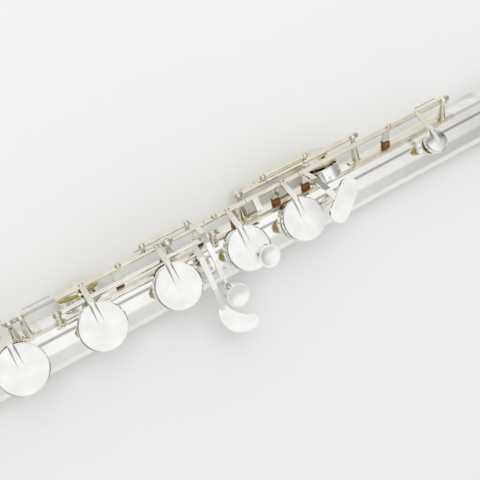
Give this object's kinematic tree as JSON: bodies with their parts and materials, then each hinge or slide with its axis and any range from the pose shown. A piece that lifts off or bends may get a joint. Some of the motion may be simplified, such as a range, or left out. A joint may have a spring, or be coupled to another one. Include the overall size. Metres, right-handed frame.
{
  "type": "alto concert flute",
  "caption": "Straight-head Boehm alto flute with closed cups and in-line G keys: body, foot joint and head joint, each key hinged on its own rod.",
  "frame": {"origin": "on the bore axis at the open foot end", "axes": "+X along the bore towards the crown, +Y towards the player's side where the hinge rods lie, +Z towards the main key cups"},
  "size_m": [0.8827, 0.0552, 0.0471],
  "materials": {
    "silver_tube": "bright silver plate over nickel silver, drawn along the tube",
    "silver_keys": "bright silver plate, polished by hand",
    "steel": "ground steel rod and blued needle springs",
    "pad_skin": "stretched yellow bladder skin over felt",
    "cork": "fine cork, sanded"
  },
  "bodies": {
    "root": {"body_tube": "silver_tube", "barrel": "silver_keys", "body_ribs": "silver_keys", "body_posts": "silver_keys", "body_steels": "steel", "body_springs": "steel"},
    "foot": {"foot_tube": "silver_tube", "foot_socket": "silver_keys", "foot_bead": "silver_keys", "foot_posts": "silver_keys", "foot_rib": "silver_keys", "foot_steels": "steel"},
    "head": {"head_tube": "silver_tube", "lip_plate": "silver_keys", "lip_riser": "silver_keys"},
    "stopper": {"stopper_cork": "cork", "stopper_screw": "silver_keys"},
    "crown": {"crown": "silver_keys"},
    "d_key": {"d_key": "silver_keys", "d_pad": "pad_skin", "d_cork": "cork"},
    "e_key": {"e_key": "silver_keys", "e_pad": "pad_skin", "e_cork": "cork"},
    "f_key": {"f_key": "silver_keys", "f_pad": "pad_skin", "f_cork": "cork"},
    "f_sharp_key": {"f_sharp_key": "silver_keys", "f_sharp_pad": "pad_skin", "f_sharp_cork": "cork"},
    "g_key": {"g_key": "silver_keys", "g_pads": "pad_skin", "g_corks": "cork"},
    "a_key": {"a_key": "silver_keys", "a_pad": "pad_skin", "a_cork": "cork"},
    "b_flat_key": {"b_flat_key": "silver_keys", "b_flat_pad": "pad_skin", "b_flat_cork": "cork"},
    "c_sharp_key": {"c_sharp_key": "silver_keys", "c_sharp_pad": "pad_skin", "c_sharp_corks": "cork"},
    "g_sharp_key": {"g_sharp_key": "silver_keys", "g_sharp_pad": "pad_skin"},
    "thumb_key": {"thumb_key": "silver_keys", "thumb_pad": "pad_skin"},
    "thumb_b_flat_lever": {"thumb_b_flat_lever": "silver_keys"},
    "foot_d_sharp_key": {"foot_d_sharp_key": "silver_keys", "foot_d_sharp_pad": "pad_skin"},
    "foot_c_sharp_key": {"foot_c_sharp_key": "silver_keys", "foot_c_sharp_pad": "pad_skin", "foot_c_sharp_cork": "cork"},
    "foot_c_key": {"foot_c_key": "silver_keys", "foot_c_pad": "pad_skin"},
    "c_sharp_roller": {"c_sharp_roller": "silver_keys"},
    "low_c_roller": {"low_c_roller": "silver_keys"}
  },
  "joints": [
    {"name": "foot_turn", "type": "hinge", "parent": "root", "child": "foot", "pos_m": [0.16, 0, 0], "axis": [1, 0, 0], "range_deg": [-20, 20]},
    {"name": "head_slide", "type": "slide", "parent": "root", "child": "head", "axis": [1, 0, 0], "range_m": [0, 0.012]},
    {"name": "crown_turn", "type": "hinge", "parent": "head", "child": "crown", "pos_m": [0.872, 0, 0], "axis": [1, 0, 0], "range_deg": [-360, 360]},
    {"name": "stopper_slide", "type": "slide", "parent": "head", "child": "stopper", "axis": [1, 0, 0], "range_m": [-0.0011, 0.0011]},
    {"name": "d_key_hinge", "type": "hinge", "parent": "root", "child": "d_key", "pos_m": [0.1845, 0.017, 0.011], "axis": [1, 0, 0], "range_deg": [0, 8.5], "stiffness_Nm_per_rad": 0.02, "springref_deg": -22.92},
    {"name": "e_key_hinge", "type": "hinge", "parent": "root", "child": "e_key", "pos_m": [0.2244, 0.017, 0.011], "axis": [1, 0, 0], "range_deg": [0, 8.5], "stiffness_Nm_per_rad": 0.02, "springref_deg": -22.92},
    {"name": "f_key_hinge", "type": "hinge", "parent": "root", "child": "f_key", "pos_m": [0.2619, 0.017, 0.011], "axis": [1, 0, 0], "range_deg": [0, 8.5], "stiffness_Nm_per_rad": 0.02, "springref_deg": -22.92},
    {"name": "f_sharp_key_hinge", "type": "hinge", "parent": "root", "child": "f_sharp_key", "pos_m": [0.2974, 0.017, 0.011], "axis": [1, 0, 0], "range_deg": [0, 8.5], "stiffness_Nm_per_rad": 0.02, "springref_deg": -22.92},
    {"name": "g_key_hinge", "type": "hinge", "parent": "root", "child": "g_key", "pos_m": [0.35, 0.017, 0.011], "axis": [1, 0, 0], "range_deg": [0, 8.5], "stiffness_Nm_per_rad": 0.02, "springref_deg": -22.92},
    {"name": "a_key_hinge", "type": "hinge", "parent": "root", "child": "a_key", "pos_m": [0.3941, 0.017, 0.011], "axis": [1, 0, 0], "range_deg": [0, 8.5], "stiffness_Nm_per_rad": 0.02, "springref_deg": -22.92},
    {"name": "b_flat_key_hinge", "type": "hinge", "parent": "root", "child": "b_flat_key", "pos_m": [0.4204, 0.017, 0.011], "axis": [1, 0, 0], "range_deg": [0, 8.5], "stiffness_Nm_per_rad": 0.02, "springref_deg": -22.92},
    {"name": "c_sharp_key_hinge", "type": "hinge", "parent": "root", "child": "c_sharp_key", "pos_m": [0.47, 0.017, 0.011], "axis": [1, 0, 0], "range_deg": [0, 8.5], "stiffness_Nm_per_rad": 0.02, "springref_deg": -22.92},
    {"name": "g_sharp_key_hinge", "type": "hinge", "parent": "root", "child": "g_sharp_key", "pos_m": [0.35, 0.0118, 0.0124], "axis": [1, 0, 0], "range_deg": [0, 8], "stiffness_Nm_per_rad": 0.02, "springref_deg": -22.92},
    {"name": "thumb_key_hinge", "type": "hinge", "parent": "root", "child": "thumb_key", "pos_m": [0.4448, 0.0203, 0.0082], "axis": [-1, 0, 0], "range_deg": [0, 14], "stiffness_Nm_per_rad": 0.02, "springref_deg": -22.92},
    {"name": "thumb_b_flat_lever_hinge", "type": "hinge", "parent": "root", "child": "thumb_b_flat_lever", "pos_m": [0.4245, 0.0203, 0.0082], "axis": [-1, 0, 0], "range_deg": [0, 12], "stiffness_Nm_per_rad": 0.02, "springref_deg": -22.92},
    {"name": "foot_d_sharp_key_hinge", "type": "hinge", "parent": "foot", "child": "foot_d_sharp_key", "pos_m": [0.1423, 0.00003, 0.02025], "axis": [-1, 0, 0], "range_deg": [0, 8], "stiffness_Nm_per_rad": 0.02, "springref_deg": -22.92},
    {"name": "foot_c_sharp_key_hinge", "type": "hinge", "parent": "foot", "child": "foot_c_sharp_key", "pos_m": [0.0976, 0.00003, 0.02025], "axis": [1, 0, 0], "range_deg": [0, 8.5], "stiffness_Nm_per_rad": 0.02, "springref_deg": -22.92},
    {"name": "foot_c_key_hinge", "type": "hinge", "parent": "foot", "child": "foot_c_key", "pos_m": [0.05, 0.00501, 0.02131], "axis": [1, 0, 0], "range_deg": [0, 7], "stiffness_Nm_per_rad": 0.02, "springref_deg": -22.92},
    {"name": "c_sharp_roller_spin", "type": "hinge", "parent": "foot_c_sharp_key", "child": "c_sharp_roller", "pos_m": [0.158, -0.01086, 0.01504], "axis": [0, 0.5446, 0.8387], "continuous": true},
    {"name": "low_c_roller_spin", "type": "hinge", "parent": "foot_c_key", "child": "low_c_roller", "pos_m": [0.1614, -0.01086, 0.01504], "axis": [0, 0.5446, 0.8387], "continuous": true}
  ],
  "couplings": [
    {"joint": "stopper_slide", "follows": "crown_turn", "m_per_rad": 0.00015915},
    {"joint": "b_flat_key_hinge", "follows": "a_key_hinge", "ratio": 1},
    {"joint": "f_sharp_key_hinge", "follows": "f_key_hinge", "ratio": 1},
    {"joint": "foot_c_sharp_key_hinge", "follows": "foot_c_key_hinge", "ratio": 1.2}
  ]
}
